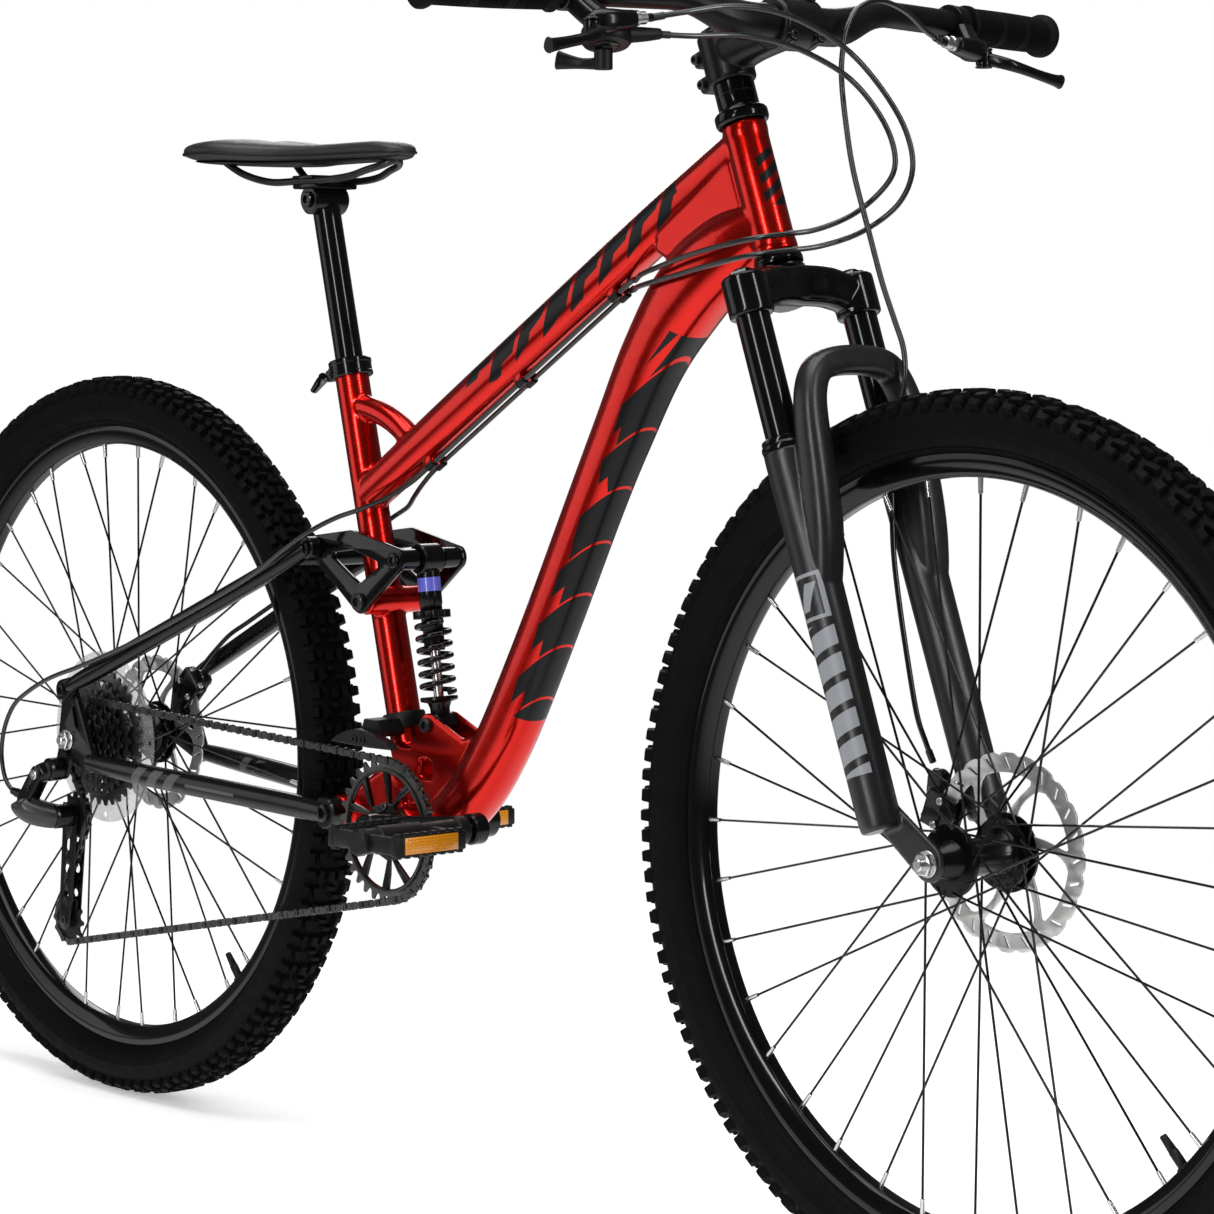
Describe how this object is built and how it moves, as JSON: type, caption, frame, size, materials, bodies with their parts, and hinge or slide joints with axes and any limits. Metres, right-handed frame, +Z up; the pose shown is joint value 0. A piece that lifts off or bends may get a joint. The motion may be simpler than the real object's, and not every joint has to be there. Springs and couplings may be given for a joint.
{
  "type": "mountain bike",
  "caption": "Full-suspension mountain bike with red frame, black swingarm and fork, disc brakes, flat pedals, wide bar and knobbly tyres.",
  "frame": {"origin": "on the floor, halfway between the two axles, in the bicycle's middle plane", "axes": "+X points forwards to the front wheel, +Y to the rider's left, +Z up"},
  "size_m": [1.9066, 0.7208, 1.0616],
  "materials": {
    "frame_paint": "candy red clear-coated metallic paint",
    "gloss_black_paint": "gloss black paint",
    "satin_black_paint": "satin black paint",
    "charcoal_paint": "matt charcoal paint",
    "tyre_rubber": "black knobbly rubber",
    "grip_rubber": "black ribbed rubber",
    "steel": "bare brushed steel",
    "dark_steel": "dark oiled steel",
    "alloy_black": "black anodised alloy",
    "black_plastic": "moulded black plastic",
    "clear_plastic": "clear pale plastic",
    "cable_housing": "black cable housing",
    "saddle_cover": "black stitched synthetic leather"
  },
  "bodies": {
    "frame": {"main_frame": "frame_paint", "headset_upper": "alloy_black", "headset_lower": "alloy_black", "seat_clamp": "alloy_black", "bb_cartridge": "dark_steel", "chain_guide": "charcoal_paint", "rocker_axle": "steel", "rear_brake_cable": "cable_housing", "shift_cable": "cable_housing"},
    "clamp_lever": {"seat_clamp_lever": "alloy_black"},
    "seat": {"seatpost": "alloy_black", "saddle_rails": "dark_steel", "saddle": "saddle_cover"},
    "crank": {"crank_right": "satin_black_paint", "crank_left": "satin_black_paint", "chainring": "dark_steel"},
    "pedal_r": {"pedal_right": "black_plastic"},
    "pedal_l": {"pedal_left": "black_plastic"},
    "swingarm": {"chainstays": "satin_black_paint", "rear_axle": "steel", "derailleur_body": "black_plastic", "chain": "dark_steel"},
    "cage": {"derailleur_cage": "dark_steel"},
    "jockey_u": {"jockey_upper": "black_plastic"},
    "jockey_l": {"jockey_lower": "black_plastic"},
    "stays": {"seatstays": "satin_black_paint", "rear_caliper": "satin_black_paint"},
    "rear_cam": {"rear_caliper_arm": "steel"},
    "rear_wheel": {"rear_tyre": "tyre_rubber", "rear_rim": "gloss_black_paint", "rear_hub": "alloy_black", "rear_spokes": "dark_steel", "rear_rotor": "steel", "spoke_protector": "clear_plastic"},
    "sprockets": {"cassette": "dark_steel"},
    "rocker_link": {"rocker": "gloss_black_paint"},
    "shock_rod": {"shock_shaft": "steel"},
    "shock_barrel": {"shock_body": "satin_black_paint", "shock_spring": "gloss_black_paint"},
    "steerer": {"fork_upper": "gloss_black_paint", "stem": "alloy_black", "handlebar": "alloy_black", "grip_right": "grip_rubber", "grip_left": "grip_rubber", "control_right": "black_plastic", "brake_mount_left": "satin_black_paint", "front_brake_cable": "cable_housing"},
    "lever_right": {"brake_lever_right": "gloss_black_paint"},
    "lever_left": {"brake_lever_left": "gloss_black_paint"},
    "shifter": {"shift_lever": "black_plastic"},
    "lowers": {"fork_lowers": "charcoal_paint", "front_axle": "steel", "front_caliper": "satin_black_paint"},
    "front_cam": {"front_caliper_arm": "steel"},
    "front_wheel": {"front_tyre": "tyre_rubber", "front_rim": "gloss_black_paint", "front_hub": "alloy_black", "front_spokes": "dark_steel", "front_rotor": "steel"}
  },
  "joints": [
    {"name": "steering", "type": "hinge", "parent": "frame", "child": "steerer", "pos_m": [0.3412, 0, 0.8968], "axis": [-0.342, 0, 0.9397], "range_deg": [-60, 60], "deforming": ["rear_brake_cable", "shift_cable"]},
    {"name": "fork_travel", "type": "slide", "parent": "steerer", "child": "lowers", "axis": [-0.342, 0, 0.9397], "range_m": [0, 0.08], "stiffness_N_per_m": 6000, "springref_m": -0.02, "deforming": ["front_brake_cable"]},
    {"name": "front_wheel_spin", "type": "hinge", "parent": "lowers", "child": "front_wheel", "pos_m": [0.585, 0, 0.3683], "axis": [0, 1, 0], "continuous": true},
    {"name": "rear_swing", "type": "hinge", "parent": "frame", "child": "swingarm", "pos_m": [-0.195, 0, 0.33], "axis": [0, 1, 0], "range_deg": [0, 10], "stiffness_Nm_per_rad": 4000, "springref_deg": -2.86, "deforming": ["chain"]},
    {"name": "rear_wheel_spin", "type": "hinge", "parent": "swingarm", "child": "rear_wheel", "pos_m": [-0.585, 0, 0.3683], "axis": [0, 1, 0], "continuous": true},
    {"name": "cassette_spin", "type": "hinge", "parent": "swingarm", "child": "sprockets", "pos_m": [-0.585, 0, 0.3683], "axis": [0, 1, 0], "continuous": true},
    {"name": "seatstay_pivot", "type": "hinge", "parent": "swingarm", "child": "stays", "pos_m": [-0.581, 0, 0.42], "axis": [0, 1, 0], "range_deg": [-4.12, 0]},
    {"name": "rocker_pivot", "type": "hinge", "parent": "frame", "child": "rocker_link", "pos_m": [-0.147, 0, 0.531], "axis": [0, 1, 0], "range_deg": [0, 32.53]},
    {"name": "shock_lower_eye", "type": "hinge", "parent": "frame", "child": "shock_rod", "pos_m": [-0.075, 0, 0.4205], "axis": [0, 1, 0], "range_deg": [0, 4.54]},
    {"name": "shock_travel", "type": "slide", "parent": "shock_rod", "child": "shock_barrel", "axis": [-0.1309, 0, 0.9914], "range_m": [-0.03555, 0], "deforming": ["shock_spring"]},
    {"name": "crank_spin", "type": "hinge", "parent": "frame", "child": "crank", "pos_m": [-0.095, 0, 0.324], "axis": [0, 1, 0], "continuous": true},
    {"name": "pedal_right_spin", "type": "hinge", "parent": "crank", "child": "pedal_r", "pos_m": [0.07355, 0, 0.34619], "axis": [0, 1, 0], "continuous": true},
    {"name": "pedal_left_spin", "type": "hinge", "parent": "crank", "child": "pedal_l", "pos_m": [-0.26355, 0, 0.30181], "axis": [0, 1, 0], "continuous": true},
    {"name": "derailleur_cage_pivot", "type": "hinge", "parent": "swingarm", "child": "cage", "pos_m": [-0.605, 0, 0.288], "axis": [0, 1, 0], "range_deg": [-5, 35], "stiffness_Nm_per_rad": 0.6, "springref_deg": -17.19},
    {"name": "jockey_upper_spin", "type": "hinge", "parent": "cage", "child": "jockey_u", "pos_m": [-0.605, 0, 0.288], "axis": [0, 1, 0], "continuous": true},
    {"name": "jockey_lower_spin", "type": "hinge", "parent": "cage", "child": "jockey_l", "pos_m": [-0.617, 0, 0.178], "axis": [0, 1, 0], "continuous": true},
    {"name": "rear_cam_pivot", "type": "hinge", "parent": "stays", "child": "rear_cam", "pos_m": [-0.52109, 0, 0.42585], "axis": [0, 1, 0], "range_deg": [0, 12.01], "stiffness_Nm_per_rad": 0.03},
    {"name": "front_cam_pivot", "type": "hinge", "parent": "lowers", "child": "front_cam", "pos_m": [0.50419, 0, 0.39771], "axis": [0, 1, 0], "range_deg": [0, 12.01], "stiffness_Nm_per_rad": 0.03},
    {"name": "brake_lever_left_pull", "type": "hinge", "parent": "steerer", "child": "lever_left", "pos_m": [0.3847, 0.225, 1.0135], "axis": [0, 0, 1], "range_deg": [0, 14], "stiffness_Nm_per_rad": 2},
    {"name": "brake_lever_right_pull", "type": "hinge", "parent": "steerer", "child": "lever_right", "pos_m": [0.3847, -0.225, 1.0135], "axis": [0, 0, 1], "range_deg": [-14, 0], "stiffness_Nm_per_rad": 2},
    {"name": "shift_lever_push", "type": "hinge", "parent": "steerer", "child": "shifter", "pos_m": [0.36547, -0.196, 0.98893], "axis": [0, 0, 1], "range_deg": [-25, 0], "stiffness_Nm_per_rad": 0.5},
    {"name": "seat_clamp_lever_turn", "type": "hinge", "parent": "frame", "child": "clamp_lever", "pos_m": [-0.23684, 0, 0.73887], "axis": [-0.2338, 0, 0.9723], "range_deg": [-100, 0]},
    {"name": "seatpost_height", "type": "slide", "parent": "frame", "child": "seat", "axis": [-0.2338, 0, 0.9723], "range_m": [0, 0.06]}
  ],
  "couplings": [
    {"joint": "seatstay_pivot", "follows": "rear_swing", "ratio": -0.41145},
    {"joint": "rocker_pivot", "follows": "rear_swing", "ratio": 3.2525},
    {"joint": "shock_lower_eye", "follows": "rear_swing", "ratio": 0.4533},
    {"joint": "shock_travel", "follows": "rear_swing", "m_per_rad": -0.20366},
    {"joint": "cassette_spin", "follows": "crank_spin", "ratio": 1.6},
    {"joint": "jockey_upper_spin", "follows": "crank_spin", "ratio": -2.9091},
    {"joint": "jockey_lower_spin", "follows": "crank_spin", "ratio": 2.9091},
    {"joint": "front_cam_pivot", "follows": "brake_lever_left_pull", "ratio": 0.85714},
    {"joint": "rear_cam_pivot", "follows": "brake_lever_right_pull", "ratio": -0.85714}
  ]
}
